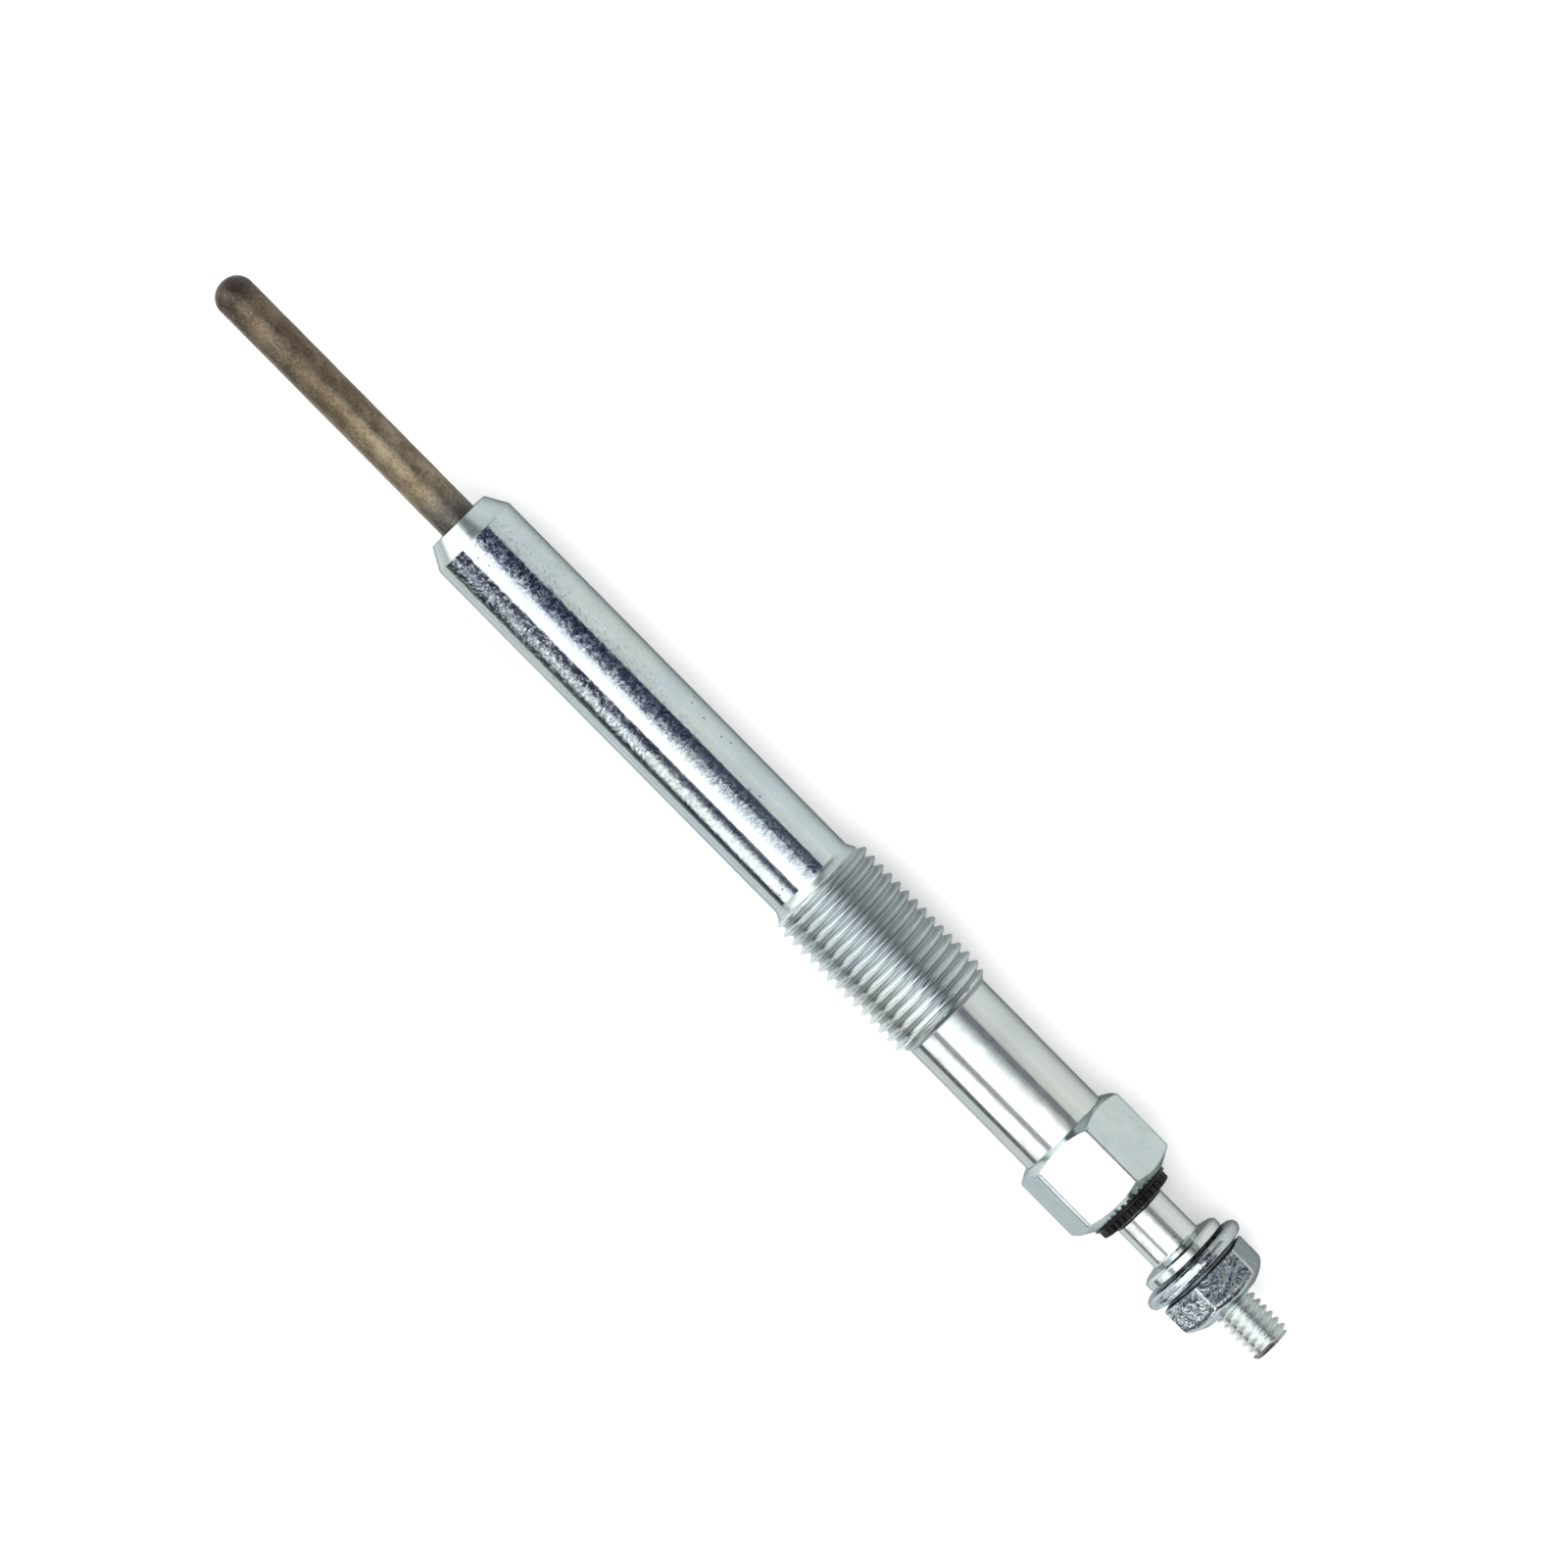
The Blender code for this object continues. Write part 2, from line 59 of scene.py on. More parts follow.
# ================================================================ mesh building
class Surface:
    """Collects rings of points round the plug's axis. A ring is N points at the same angles, and its points may differ
    in x and radius."""

    def __init__(self, angles):
        self.angles = np.asarray(angles, float)
        self.n = len(self.angles)
        self.points = []
        self.faces = []
        self.mats = []

    def ring(self, x, r):
        """x and r in mm, each one number or N numbers. Gives the indices of the ring's points."""
        x = np.broadcast_to(np.asarray(x, float), (self.n,))
        r = np.broadcast_to(np.asarray(r, float), (self.n,))
        start = len(self.points)
        for xi, ri, a in zip(x, r, self.angles):
            self.points.append(((xi - HALF) * MM, ri * math.cos(a) * MM, AXIS_Z + ri * math.sin(a) * MM))
        return np.arange(start, start + self.n)

    def join(self, a, b, mat=0):
        """Faces from ring a to ring b, outward where b is further along +X than a."""
        for i in range(self.n):
            j = (i + 1) % self.n
            self.face((a[i], a[j], b[j], b[i]), mat)

    def face(self, corners, mat=0):
        kept = []
        for c in corners:
            if c not in kept:
                kept.append(c)
        if len(kept) > 2:
            self.faces.append([int(c) for c in kept])
            self.mats.append(mat)

    def run(self, profile, mats=0, after=None):
        """Rings along a profile, a list of (x, r), joined one to the next. Gives the first and last ring."""
        rings = [self.ring(x, r) for x, r in profile]
        if after is not None:
            rings = [after] + rings
        for k, (a, b) in enumerate(zip(rings, rings[1:])):
            self.join(a, b, mats if isinstance(mats, int) else mats[k])
        return rings[0], rings[-1]

    def pole(self, ring, x, mat=0, rear=True):
        """Closes a ring on the axis."""
        start = len(self.points)
        self.points.append(((x - HALF) * MM, 0.0, AXIS_Z))
        for i in range(self.n):
            j = (i + 1) % self.n
            self.face((ring[i], ring[j], start) if rear else (ring[j], ring[i], start), mat)

    def thread(self, first, x0, x1, pitch, lead, shape, radius, mat=0):
        """A helical thread between x0 and x1, after the ring `first`, which is at x0. `lead` is the x of a crest at angle
        0, `shape` is the positions in one pitch where the rows of points lie, and radius(x, angle) gives the surface.
        Gives the last ring, at x1."""
        m = len(shape)
        last = self.ring(x1, [radius(x1, a) for a in self.angles])
        turns = int(math.ceil((x1 - x0) / pitch)) + 3
        base = lead + pitch * math.floor((x0 - lead) / pitch) - 2 * pitch
        rows = m * turns
        index = np.zeros((self.n, rows + m), int)
        for i, a in enumerate(self.angles):
            for k in range(rows + m):
                x = base + pitch * a / (2 * math.pi) + pitch * (k // m) + pitch * shape[k % m]
                if x <= x0 + 1e-6:
                    index[i, k] = first[i]
                elif x >= x1 - 1e-6:
                    index[i, k] = last[i]
                else:
                    r = radius(x, a)
                    index[i, k] = len(self.points)
                    self.points.append(((x - HALF) * MM, r * math.cos(a) * MM, AXIS_Z + r * math.sin(a) * MM))
        for i in range(self.n):
            j = (i + 1) % self.n
            shift = m if j == 0 else 0
            for k in range(rows - 1):
                self.face((index[i, k], index[j, k + shift], index[j, k + shift + 1], index[i, k + 1]), mat)
        return last

    def build(self, name, materials, sharp=38.0):
        me = bpy.data.meshes.new(name)
        me.from_pydata([tuple(p) for p in self.points], [], self.faces)
        for m in materials:
            me.materials.append(m)
        me.polygons.foreach_set("material_index", np.asarray(self.mats, np.int32))
        bm = bmesh.new()
        bm.from_mesh(me)
        bmesh.ops.remove_doubles(bm, verts=bm.verts, dist=2e-8)
        loose = [v for v in bm.verts if not v.link_faces]
        bmesh.ops.delete(bm, geom=loose, context="VERTS")
        bmesh.ops.dissolve_degenerate(bm, edges=bm.edges, dist=1e-9)
        bm.to_mesh(me)
        bm.free()
        me.validate()
        me.shade_smooth()
        me.set_sharp_from_angle(angle=math.radians(sharp))
        ob = bpy.data.objects.new(name, me)
        bpy.context.scene.collection.objects.link(ob)
        return ob


def even(n, start=0.0):
    return [start + 2 * math.pi * i / n for i in range(n)]


def six_sided(first_flat, flats, corner):
    """Angles for a six-sided shape, closer together at its rounded corners. first_flat is the angle of a flat, degrees."""
    a = flats / 2
    span = math.degrees(corner * math.tan(math.radians(30)) / (a / math.cos(math.radians(30))))
    steps = [-span - 0.5, -span, -span * 0.66, -span * 0.33, 0.0, span * 0.33, span * 0.66, span, span + 0.5]
    inner = np.linspace(span + 0.5, 60.0 - span - 0.5, 25)[1:-1]
    out = []
    for k in range(6):
        centre = first_flat + 30.0 + 60.0 * k
        out += [centre + s for s in steps] + [centre + s for s in inner]
    out = sorted((x % 360.0) * DEG for x in out)
    return out


def six_radius(angle, first_flat, flats, corner):
    """Radius of a hexagon with rounded corners at an angle (radians)."""
    psi = (math.degrees(angle) - first_flat + 30.0) % 60.0 - 30.0
    psi = abs(psi) * DEG
    a = flats / 2
    if a * math.tan(psi) <= (a - corner) * math.tan(30 * DEG) + corner * 0.0 + 1e-12 and psi < 30 * DEG:
        edge = (a - corner) * math.tan(30 * DEG)
        if a * math.tan(psi) <= edge:
            return a / math.cos(psi)
    centre = (a - corner) / math.cos(30 * DEG)
    d = 30 * DEG - psi
    return centre * math.cos(d) + math.sqrt(max(corner**2 - (centre * math.sin(d)) ** 2, 0.0))


def rounded(points, n=5, support=0.05):
    """A profile through (x, r, radius) with its corners rounded to that radius. Corners with radius 0 stay. Each rounded
    corner gets n + 1 points and one more on each side, so that flat stretches stay flat when shaded."""
    out = []
    last = len(points) - 1
    for k, (x, r, rad) in enumerate(points):
        if k in (0, last) or rad <= 0:
            out.append((x, r))
            continue
        p = np.array((x, r))
        a = np.array(points[k - 1][:2]) - p
        b = np.array(points[k + 1][:2]) - p
        la, lb = np.hypot(*a), np.hypot(*b)
        a, b = a / max(la, 1e-9), b / max(lb, 1e-9)
        cos = float(np.clip(a @ b, -1, 1))
        half = math.acos(cos) / 2
        reach = min(rad / max(math.tan(half), 1e-6), 0.46 * la, 0.46 * lb)
        true = reach * math.tan(half)
        bis = a + b
        size = np.hypot(*bis)
        if size < 1e-6:
            centre = None
        else:
            centre = p + bis / size * (true / max(math.sin(half), 1e-6))
        start, end = p + a * reach, p + b * reach
        more = min(support, 0.04 * la), min(support, 0.04 * lb)
        out.append(tuple(start + a * more[0]))
        for i in range(n + 1):
            t = i / n
            if centre is None:
                out.append(tuple(start + (end - start) * t))
                continue
            v0, v1 = start - centre, end - centre
            a0, a1 = math.atan2(v0[1], v0[0]), math.atan2(v1[1], v1[0])
            d = (a1 - a0 + math.pi) % (2 * math.pi) - math.pi
            q = centre + true * np.array((math.cos(a0 + d * t), math.sin(a0 + d * t)))
            out.append(tuple(q))
        out.append(tuple(end + b * more[1]))
    return out


def columns(angles, points_at, n=5, support=0.05):
    """Profiles that differ round the axis: points_at(angle) gives (x, r, radius) points. Gives a list of (x, r) with one
    array each."""
    all_cols = [rounded(points_at(a), n, support) for a in angles]
    rows = len(all_cols[0])
    return [
        (np.array([c[k][0] for c in all_cols]), np.array([c[k][1] for c in all_cols])) for k in range(rows)
    ]


def smooth(t):
    t = min(max(t, 0.0), 1.0)
    return t * t * (3 - 2 * t)


# ================================================================ materials
class Nodes:
    """Short ways to write a node tree."""

    def __init__(self, tree):
        self.tree = tree

    def add(self, kind, **kw):
        node = self.tree.nodes.new(kind)
        for k, v in kw.items():
            if k in node.inputs:
                self.put(node.inputs[k], v)
            else:
                setattr(node, k, v)
        return node

    def put(self, socket, value):
        if isinstance(value, bpy.types.NodeSocket):
            self.tree.links.new(value, socket)
        else:
            socket.default_value = value

    def coords(self):
        return self.add("ShaderNodeTexCoord").outputs["Object"]

    def scaled(self, vector, scale):
        node = self.add("ShaderNodeVectorMath", operation="MULTIPLY")
        self.put(node.inputs[0], vector)
        node.inputs[1].default_value = scale
        return node.outputs[0]

    def noise(self, vector, scale, detail=3.0, rough=0.55, distortion=0.0):
        node = self.add("ShaderNodeTexNoise", noise_dimensions="3D")
        self.put(node.inputs["Vector"], vector)
        node.inputs["Scale"].default_value = scale
        node.inputs["Detail"].default_value = detail
        node.inputs["Roughness"].default_value = rough
        node.inputs["Distortion"].default_value = distortion
        return node.outputs["Fac"]

    def voronoi(self, vector, scale, feature="F1"):
        node = self.add("ShaderNodeTexVoronoi", feature=feature)
        self.put(node.inputs["Vector"], vector)
        node.inputs["Scale"].default_value = scale
        return node.outputs["Distance"]

    def math(self, operation, a, b=0.0, c=None):
        node = self.add("ShaderNodeMath", operation=operation)
        self.put(node.inputs[0], a)
        self.put(node.inputs[1], b)
        if c is not None:
            self.put(node.inputs[2], c)
        return node.outputs[0]

    def band(self, value, a, b, lo=0.0, hi=1.0, kind="SMOOTHSTEP"):
        node = self.add("ShaderNodeMapRange", interpolation_type=kind)
        node.clamp = True
        self.put(node.inputs["Value"], value)
        self.put(node.inputs["From Min"], a)
        self.put(node.inputs["From Max"], b)
        self.put(node.inputs["To Min"], lo)
        self.put(node.inputs["To Max"], hi)
        return node.outputs["Result"]

    def mix(self, factor, a, b):
        node = self.add("ShaderNodeMix", data_type="RGBA")
        self.put(node.inputs[0], factor)
        self.put(node.inputs[6], a)
        self.put(node.inputs[7], b)
        return node.outputs[2]

    def bump(self, height, distance, strength=1.0, normal=None):
        node = self.add("ShaderNodeBump")
        self.put(node.inputs["Height"], height)
        node.inputs["Distance"].default_value = distance
        self.put(node.inputs["Strength"], strength)
        if normal is not None:
            self.put(node.inputs["Normal"], normal)
        return node.outputs["Normal"]

    def radius(self, at):
        """Distance from the plug's axis, in mm."""
        _, y, z = self.separate(at)
        z = self.math("SUBTRACT", z, AXIS_Z)
        square = self.math("MULTIPLY_ADD", y, y, self.math("MULTIPLY", z, z))
        return self.math("MULTIPLY", self.math("SQRT", square), 1000.0)

    def separate(self, vector):
        node = self.add("ShaderNodeSeparateXYZ")
        self.put(node.inputs[0], vector)
        return node.outputs


def rgb(r, g, b):
    return (r, g, b, 1.0)


def new_material(name):
    m = bpy.data.materials.new(name)
    m.use_nodes = True
    n = Nodes(m.node_tree)
    shader = m.node_tree.nodes["Principled BSDF"]
    return m, n, shader


def zinc(
    name,
    tint=(0.767, 0.871, 0.884),
    shade=(0.69, 0.787, 0.806),
    rough=(0.10, 0.24),
    peel=3.5e-6,
    peel_size=0.42,
    grain=(1.0e-6, 0.07),
    blotch=None,
    specks=0.0,
    roots=None,
    axial=1.0,
    twist=0.4,
    fade=None,
    edge=(0.42, 0.45, 0.46),
    front=None,
    chroma=0.0,
    scratches=0.0,
    painted_dark_reflection=0.0,
):
    """Zinc plate. peel is the height in metres of its orange peel and peel_size the size in mm, grain a finer texture's
    height and size, blotch (share, roughness, size) small dull blotches, specks the share of small dark pits, roots
    (inner radius, outer radius, brightness) painted shade in a thread's roots, which are also made duller, fade
    (x start, x end, what stays) an orange peel that gets smoother along the plug, edge the metal's colour at a grazing
    angle, front (x start, x end, brightness) painted shade on a thread's first turns, strongest on the +Y side, which
    are also made duller, chroma the strength of fine bluish and brownish mottling, scratches that of fine hair
    scratches, and painted_dark_reflection that of a painted reflection: dark bluish speckle in strips along the top of
    the barrel."""
    m, n, shader = new_material(name)
    at = n.coords()
    stretched = n.scaled(at, (axial, 1.0, 1.0))
    coarse = n.noise(stretched, 1000.0 / (peel_size * 2.2), detail=2.0, rough=0.55, distortion=twist)
    fine = n.noise(at, 1000.0 / (peel_size * 0.8), detail=2.0, rough=0.6)
    cloud = n.noise(stretched, 1000.0 / 3.2, detail=3.0, rough=0.6)
    patches = n.noise(at, 1000.0 / 0.9, detail=4.0, rough=0.65)
    height = n.math("MULTIPLY_ADD", fine, 0.45, coarse)
    strength = 1.0
    if fade:
        strength = n.band(n.separate(at)[0], (fade[0] - HALF) * MM, (fade[1] - HALF) * MM, 1.0, fade[2])
    normal = n.bump(height, peel, strength)
    micro = n.noise(at, 1000.0 / grain[1], detail=2.0, rough=0.6)
    normal = n.bump(micro, grain[0], normal=normal)
    roughness = n.band(n.math("MULTIPLY_ADD", cloud, 0.5, n.math("MULTIPLY", patches, 0.5)), 0.36, 0.64, rough[0], rough[1])
    colour = n.mix(n.band(cloud, 0.35, 0.68), rgb(*tint), rgb(*shade))
    # the passivation's faint change of hue from patch to patch
    hue = n.noise(n.scaled(at, (0.5, 1.0, 1.0)), 1000.0 / 5.0, detail=2.0)
    colour = n.mix(n.band(hue, 0.42, 0.62, 0.0, 0.6), colour, rgb(tint[0] * 1.04, tint[1] * 1.0, tint[2] * 0.92))
    if chroma:
        tone = n.noise(at, 1000.0 / 0.55, detail=2.0, rough=0.6)
        colour = n.mix(n.band(tone, 0.50, 0.66, 0.0, chroma), colour, rgb(tint[0] * 0.90, tint[1] * 0.84, tint[2] * 1.06))
        colour = n.mix(n.band(tone, 0.50, 0.34, 0.0, chroma), colour, rgb(tint[0] * 1.06, tint[1] * 1.00, tint[2] * 0.90))
    if painted_dark_reflection:
        # painted reflection: dark bluish speckled strips at set heights and lengths on the barrel's top half, standing
        # in for the dark bands it reflects
        parts = n.separate(at)
        speckle = n.noise(n.scaled(at, (0.75, 1.0, 1.0)), 1000.0 / 0.46, detail=3.0, rough=0.62, distortion=0.5)
        speckle = n.band(speckle, 0.44, 0.53)
        dark_reflection_mask = None
        for y0, y1, x1, x2, share in ((0.00085, 0.00215, 48.0, 58.0, 0.80), (-0.00125, -0.00054, 50.0, 62.0, 0.58), (-0.0024, -0.00125, 38.0, 47.0, 0.50)):
            strip = n.math("MULTIPLY", n.band(parts[1], y0 - 0.00012, y0 + 0.00012), n.band(parts[1], y1 - 0.00012, y1 + 0.00012, 1.0, 0.0))
            strip = n.math("MULTIPLY", strip, n.band(parts[0], (x1 - HALF) * MM, (x2 - HALF) * MM, share * painted_dark_reflection, 0.08 * painted_dark_reflection))
            dark_reflection_mask = strip if dark_reflection_mask is None else n.math("MAXIMUM", dark_reflection_mask, strip)
        dark_reflection_mask = n.math("MULTIPLY", n.math("MULTIPLY", dark_reflection_mask, speckle), n.band(parts[2], AXIS_Z, AXIS_Z + 0.0005))
        colour = n.mix(dark_reflection_mask, colour, rgb(0.12, 0.125, 0.26))
    if scratches:
        # thin lines in three directions, each broken up by a noise
        lines = None
        for turn, seed in ((0.5, 0.0), (1.9, 3.1), (2.7, 7.7)):
            turned = n.add("ShaderNodeMapping", vector_type="POINT")
            n.put(turned.inputs["Vector"], at)
            turned.inputs["Location"].default_value = (seed, seed * 0.7, 0.0)
            turned.inputs["Rotation"].default_value = (0.7, 0.4, turn)
            turned.inputs["Scale"].default_value = (60.0, 1500.0, 900.0)
            streak = n.noise(turned.outputs[0], 1.0, detail=2.0, rough=0.5, distortion=0.3)
            streak = n.band(streak, 0.66, 0.72)
            lines = streak if lines is None else n.math("MAXIMUM", lines, streak)
        lines = n.math("MULTIPLY", lines, n.band(n.noise(at, 1000.0 / 1.8, detail=2.0), 0.48, 0.60, 0.0, scratches))
        colour = n.mix(n.math("MULTIPLY", lines, 0.45), colour, rgb(*[c * 0.72 for c in shade]))
        soft = n.noise(at, 1000.0 / 1.1, detail=3.0, rough=0.6)
        colour = n.mix(n.band(soft, 0.42, 0.66, 0.0, 0.35 * scratches), colour, rgb(*[c * 0.85 for c in shade]))
        roughness = n.math("ADD", roughness, n.math("MULTIPLY", lines, 0.15))
    if blotch:
        share, dull, size = blotch
        spot = n.noise(at, 1000.0 / size, detail=3.0, rough=0.6)
        spot = n.band(spot, 0.60 - 0.2 * share, 0.66 - 0.2 * share)
        if fade:
            spot = n.math("MULTIPLY", spot, strength)
        roughness = n.math("MAXIMUM", roughness, n.math("MULTIPLY", spot, dull))
        colour = n.mix(n.math("MULTIPLY", spot, 0.25), colour, rgb(*[c * 0.8 for c in shade]))
    if specks:
        cells = n.voronoi(at, 1000.0 / 0.8)
        where = n.noise(at, 1000.0 / 2.4, detail=2.0)
        spot = n.math("MULTIPLY", n.band(cells, 0.06, 0.17, 1.0, 0.0), n.band(where, 0.54, 0.60))
        spot = n.math("MULTIPLY", spot, specks)
        colour = n.mix(spot, colour, rgb(0.18, 0.20, 0.26))
        roughness = n.math("MAXIMUM", roughness, n.math("MULTIPLY", spot, 0.5))
    if roots:
        # painted shade: the thread's roots darker, from the outer radius in to the inner, and also duller
        depth = n.band(n.radius(at), roots[0], roots[1], 1.0, 0.0)
        colour = n.mix(depth, colour, rgb(*[c * roots[2] for c in shade]))
        roughness = n.math("MAXIMUM", roughness, n.math("MULTIPLY", depth, 0.32))
    if front:
        # painted shade: the thread's first turns darker, fading out towards the x end and strongest on the +Y side;
        # these turns are also made duller
        first = n.band(n.separate(at)[0], (front[0] - HALF) * MM, (front[1] - HALF) * MM, 1.0, 0.0)
        first = n.math("MULTIPLY", first, n.band(n.separate(at)[1], -0.0022, 0.0012, 0.25, 1.0))
        colour = n.mix(first, colour, rgb(*[c * front[2] for c in shade]))
        roughness = n.math("ADD", roughness, n.math("MULTIPLY", first, 0.10))
    n.put(shader.inputs["Base Color"], colour)
    n.put(shader.inputs["Roughness"], roughness)
    n.put(shader.inputs["Normal"], normal)
    shader.inputs["Metallic"].default_value = 1.0
    shader.inputs["Specular Tint"].default_value = rgb(*edge)
    return m


def oxide_material():
    """The glow tube's brown heat-tinted oxide: darker and purplish at the tip, brown along the middle, grey near the body."""
    m, n, shader = new_material("sheath_oxide")
    at = n.coords()
    x = n.separate(at)[0]
    along = n.math("MULTIPLY_ADD", x, 1000.0, HALF)  # mm from the tip
    warp = n.math("MULTIPLY_ADD", n.noise(at, 1000.0 / 2.5, detail=3.0), 3.0, -1.5)
    along = n.math("ADD", along, warp)
    stretched = n.scaled(at, (0.6, 1.0, 1.0))
    mottled = n.noise(stretched, 1000.0 / 1.3, detail=4.0, rough=0.6)
    fine = n.noise(at, 1000.0 / 0.24, detail=3.0, rough=0.65)
    tone = n.math("MULTIPLY_ADD", fine, 0.45, n.math("MULTIPLY", mottled, 0.55))
    tip = n.mix(n.band(tone, 0.38, 0.62), rgb(0.054, 0.040, 0.035), rgb(0.122, 0.096, 0.084))
    near = n.mix(n.band(tone, 0.38, 0.62), rgb(0.108, 0.080, 0.052), rgb(0.240, 0.190, 0.130))
    base = n.mix(n.band(tone, 0.38, 0.62), rgb(0.180, 0.138, 0.084), rgb(0.365, 0.300, 0.208))
    body = n.mix(n.band(tone, 0.38, 0.62), rgb(0.100, 0.096, 0.082), rgb(0.205, 0.200, 0.178))
    colour = n.mix(n.band(along, 1.0, 4.0), tip, near)
    colour = n.mix(n.band(along, 10.0, 18.0), colour, base)
    colour = n.mix(n.band(along, 23.5, 27.0), colour, body)
    # pale flecks where the oxide has flaked, most of them near the tip
    flecks = n.band(n.noise(at, 1000.0 / 0.30, detail=2.0, rough=0.7), 0.63, 0.70)
    flecks = n.math("MULTIPLY", flecks, n.band(along, 6.0, 12.0, 0.75, 0.12))
    colour = n.mix(flecks, colour, rgb(0.36, 0.34, 0.31))
    n.put(shader.inputs["Base Color"], colour)
    n.put(shader.inputs["Roughness"], n.band(tone, 0.3, 0.7, 0.33, 0.46))
    normal = n.bump(mottled, 14e-6)
    normal = n.bump(fine, 7e-6, normal=normal)
    n.put(shader.inputs["Normal"], normal)
    shader.inputs["Metallic"].default_value = 0.9
    return m


def moulding_material():
    m, n, shader = new_material("black_moulding")
    at = n.coords()
    cloud = n.noise(at, 1000.0 / 0.8, detail=3.0)
    fine = n.noise(at, 1000.0 / 0.12, detail=3.0)
    n.put(shader.inputs["Base Color"], n.mix(n.band(cloud, 0.35, 0.65), rgb(0.002, 0.002, 0.002), rgb(0.006, 0.006, 0.0065)))
    n.put(shader.inputs["Roughness"], n.band(cloud, 0.35, 0.65, 0.20, 0.34))
    n.put(shader.inputs["Normal"], n.bump(fine, 3e-6))
    shader.inputs["Specular IOR Level"].default_value = 0.26
    return m


def plain_bits(name, dark, light, rough, metallic, size, height):
    """For pieces inside, which only a cut or an export shows."""
    m, n, shader = new_material(name)
    at = n.coords()
    grain = n.noise(at, 1000.0 / size, detail=3.0)
    n.put(shader.inputs["Base Color"], n.mix(n.band(grain, 0.35, 0.65), rgb(*dark), rgb(*light)))
    n.put(shader.inputs["Roughness"], n.band(grain, 0.35, 0.65, *rough))
    n.put(shader.inputs["Normal"], n.bump(grain, height))
    shader.inputs["Metallic"].default_value = metallic
    return m


ZINC_SEAT = zinc("zinc_seat", peel=2.0e-6, rough=(0.16, 0.28))
# the barrel's zinc carries the painted dark reflection along its front
ZINC_BARREL = zinc(
    "zinc_barrel", peel=15e-6, peel_size=0.40, grain=(1.7e-6, 0.10), rough=(0.05, 0.12), blotch=(0.35, 0.26, 0.34), specks=0.9,
    axial=0.8, fade=(36.0, 62.0, 0.42), chroma=0.25, painted_dark_reflection=1.0,
)
# the thread's zinc carries painted shade in its roots and on its first turns
ZINC_THREAD = zinc(
    "zinc_thread", tint=(0.83, 0.893, 0.905), shade=(0.78, 0.845, 0.862), peel=3.0e-6, peel_size=0.5, rough=(0.10, 0.18),
    grain=(1.6e-6, 0.09), roots=(4.37, 4.56, 0.58), edge=(0.92, 0.95, 0.96), front=(74.0, 84.0, 0.73),
)
ZINC_SHANK = zinc(
    "zinc_shank", tint=(0.82, 0.885, 0.875), shade=(0.745, 0.805, 0.80), peel=4.0e-6, peel_size=0.6, rough=(0.10, 0.17), axial=0.5
)
ZINC_FLARE = zinc("zinc_flare", peel=4.0e-6, rough=(0.24, 0.34))
ZINC_HEX = zinc("zinc_hex", peel=3.0e-6, peel_size=0.5, rough=(0.08, 0.17), grain=(1.6e-6, 0.09), scratches=1.0)
BORE = zinc("bore_steel", tint=(0.46, 0.46, 0.46), shade=(0.36, 0.36, 0.36), rough=(0.3, 0.45))
ZINC_SLEEVE = zinc("zinc_sleeve", tint=(0.84, 0.91, 0.915), shade=(0.75, 0.82, 0.825), peel=5.0e-6, peel_size=0.8, rough=(0.08, 0.18))
ZINC_NUT = zinc(
    "zinc_nut", tint=(0.70, 0.775, 0.82), shade=(0.56, 0.63, 0.685), peel=84e-6, peel_size=0.95, rough=(0.06, 0.14),
    grain=(2.0e-6, 0.09), blotch=(0.3, 0.34, 0.30), twist=1.2,
)
# the stud's zinc carries painted shade in its thread roots
ZINC_STUD = zinc(
    "zinc_stud", tint=(0.85, 0.895, 0.885), shade=(0.78, 0.83, 0.82), peel=3.0e-6, peel_size=0.35, rough=(0.14, 0.24),
    grain=(1.6e-6, 0.08), roots=(1.53, 1.58, 0.85), edge=(0.95, 0.97, 0.97),
)
# painted shade: dark zinc for the stud's end, used on its -Y half only
STUD_END_SHADE = zinc("stud_end", tint=(0.30, 0.29, 0.31), shade=(0.20, 0.19, 0.20), rough=(0.24, 0.36), edge=(0.6, 0.6, 0.6))
# painted shade: dark, duller zinc for the groove between flange and hex and for the gap behind the collar
NUT_GROOVE_SHADE = zinc("nut_groove_painted_shade", tint=(0.20, 0.22, 0.25), shade=(0.14, 0.155, 0.18), rough=(0.25, 0.38), edge=(0.4, 0.42, 0.45))
OXIDE = oxide_material()
MOULDING = moulding_material()


# ================================================================ housing
HEX_FLAT = 90.0  # one flat faces straight up
HEX_AF, HEX_CORNER = 9.8, 0.60
house = Surface(six_sided(HEX_FLAT, HEX_AF, HEX_CORNER))

PITCH, MAJOR, MINOR = 1.0, 4.945, 4.36
CREST_AT = 69.62 + PITCH * 14.0 / 360.0  # a crest's x at angle 0, the +Y side
ROWS = [0.0, 0.06, 0.11, 0.20, 0.30, 0.39, 0.43, 0.465, 0.5, 0.535, 0.57, 0.61, 0.70, 0.80, 0.89, 0.94]
FORM = [(0.0, 0.0), (0.06, 0.012), (0.11, 0.085), (0.39, 0.905), (0.43, 0.975), (0.465, 0.997), (0.5, 1.0)]


def thread_form(u):
    """Height from root to crest, 0 to 1, at u pitches from a root."""
    u = u % 1.0
    u = min(u, 1.0 - u)
    for (a, ha), (b, hb) in zip(FORM, FORM[1:]):
        if u <= b:
            return ha + (hb - ha) * (u - a) / (b - a)
    return 1.0


def body_thread(x, angle):
    u = (x - CREST_AT - PITCH * angle / (2 * math.pi)) / PITCH + 0.5
    base = 4.0 + (MINOR - 4.0) * smooth((x - 68.1) / 1.0)
    depth = smooth((x - 68.75) / 0.7)
    r = base + (MAJOR - base) * depth * thread_form(u) if x < 76 else MINOR + (MAJOR - MINOR) * thread_form(u)
    return min(r, 4.15 + max(83.98 - x, 0.0) * 1.05)


